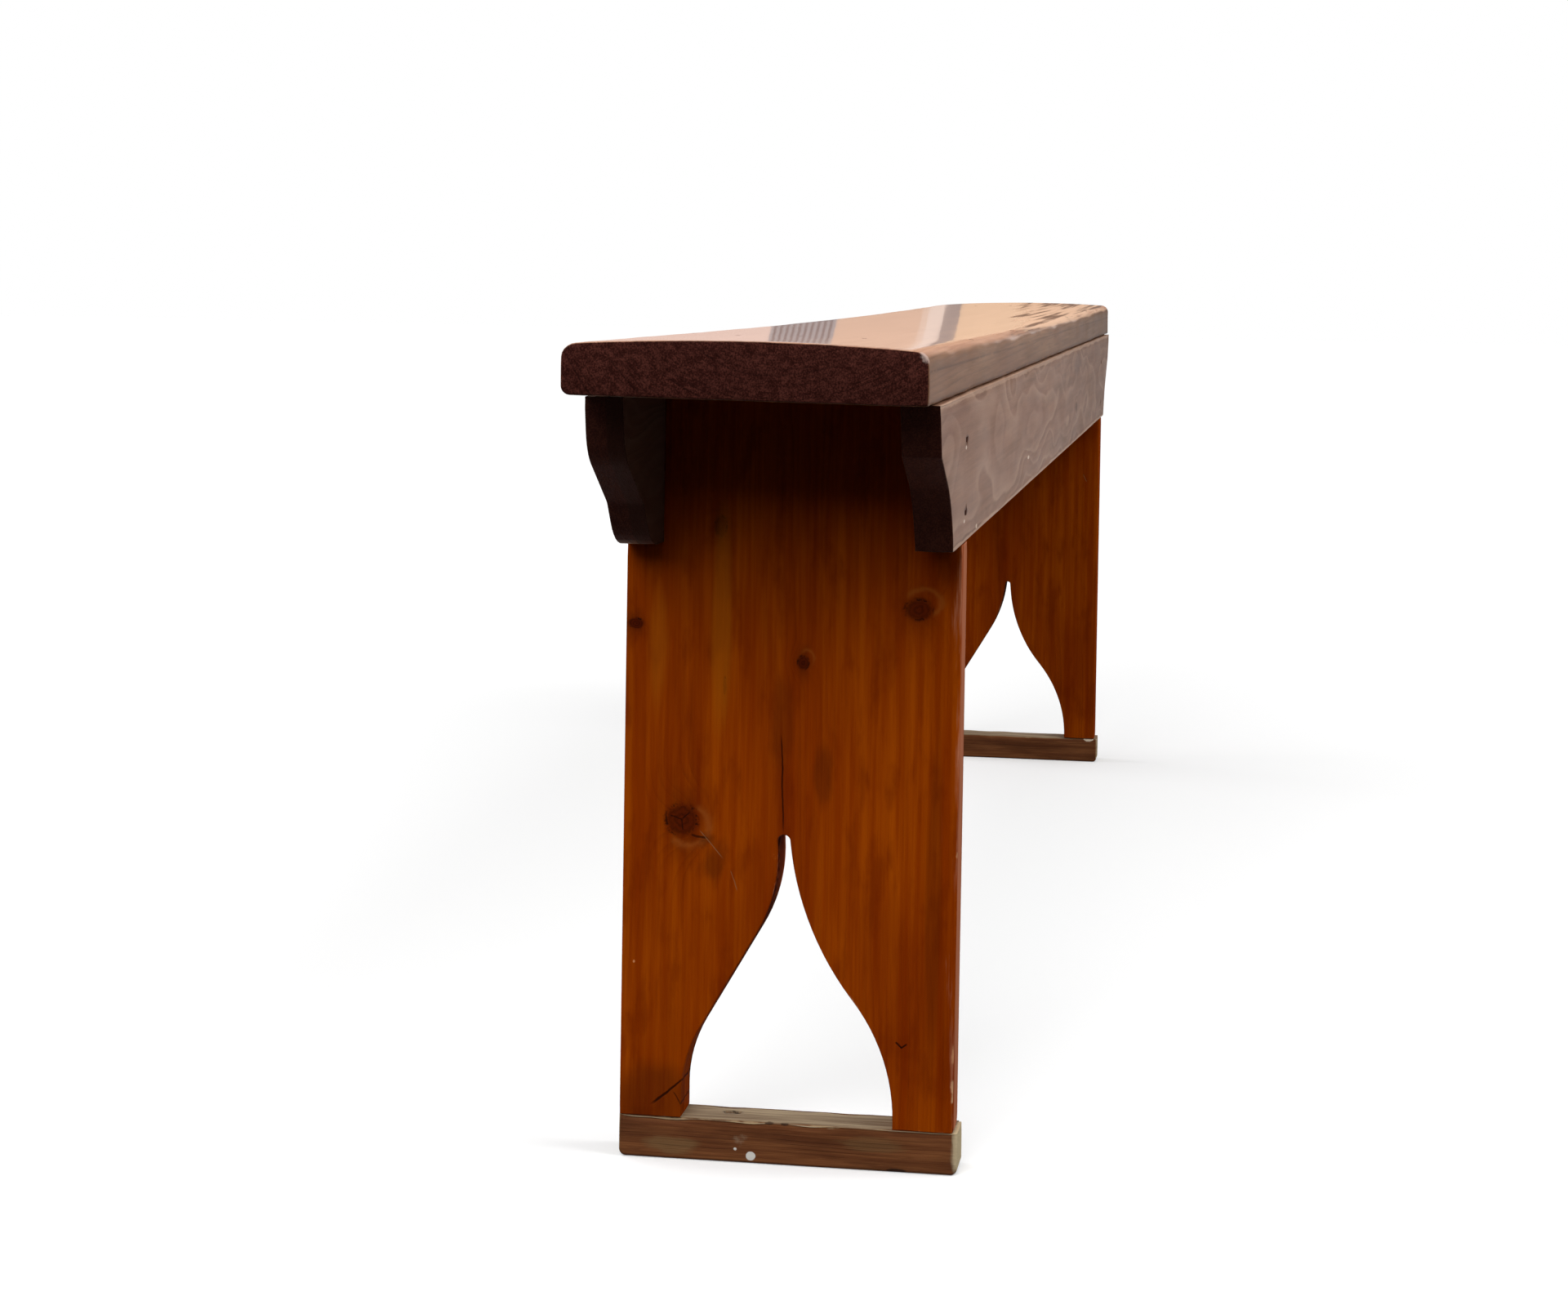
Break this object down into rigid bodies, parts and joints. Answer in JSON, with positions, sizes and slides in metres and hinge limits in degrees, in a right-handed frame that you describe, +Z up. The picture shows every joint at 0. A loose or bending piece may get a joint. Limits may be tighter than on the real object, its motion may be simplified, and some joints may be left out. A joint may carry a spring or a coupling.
{
  "type": "bench",
  "caption": "Long narrow boarded pine bench: worn seat board on two notched leg boards with ogee arches, side aprons with bracket ends, and cross-piece feet.",
  "frame": {"origin": "on the floor under the middle of the bench, at the centre of its footprint", "axes": "+Z up, +X along the bench from the left leg to the right leg, -Y towards the front apron"},
  "size_m": [1.8, 0.1956, 0.4689],
  "materials": {
    "seat_pine": "stained and waxed pine, worn along its front edge",
    "leg_pine": "orange-brown stained pine, semi-gloss varnish",
    "apron_pine": "dark brown stained pine, semi-gloss varnish",
    "foot_pine": "brown stained pine, scuffed and dull",
    "nail_iron": "dark oxidised cut nail, stamped from plate"
  },
  "bodies": {
    "root": {"seat_board": "seat_pine", "left_leg_board": "leg_pine", "right_leg_board": "leg_pine", "front_apron": "apron_pine", "back_apron": "apron_pine", "left_foot": "foot_pine", "right_foot": "foot_pine", "front_apron_left_nails": "nail_iron", "front_apron_right_nails": "nail_iron", "back_apron_left_nails": "nail_iron", "back_apron_right_nails": "nail_iron", "seat_left_leg_nails": "nail_iron", "seat_right_leg_nails": "nail_iron", "seat_front_apron_nails": "nail_iron", "seat_back_apron_nails": "nail_iron", "left_foot_nails": "nail_iron", "right_foot_nails": "nail_iron"}
  },
  "joints": []
}
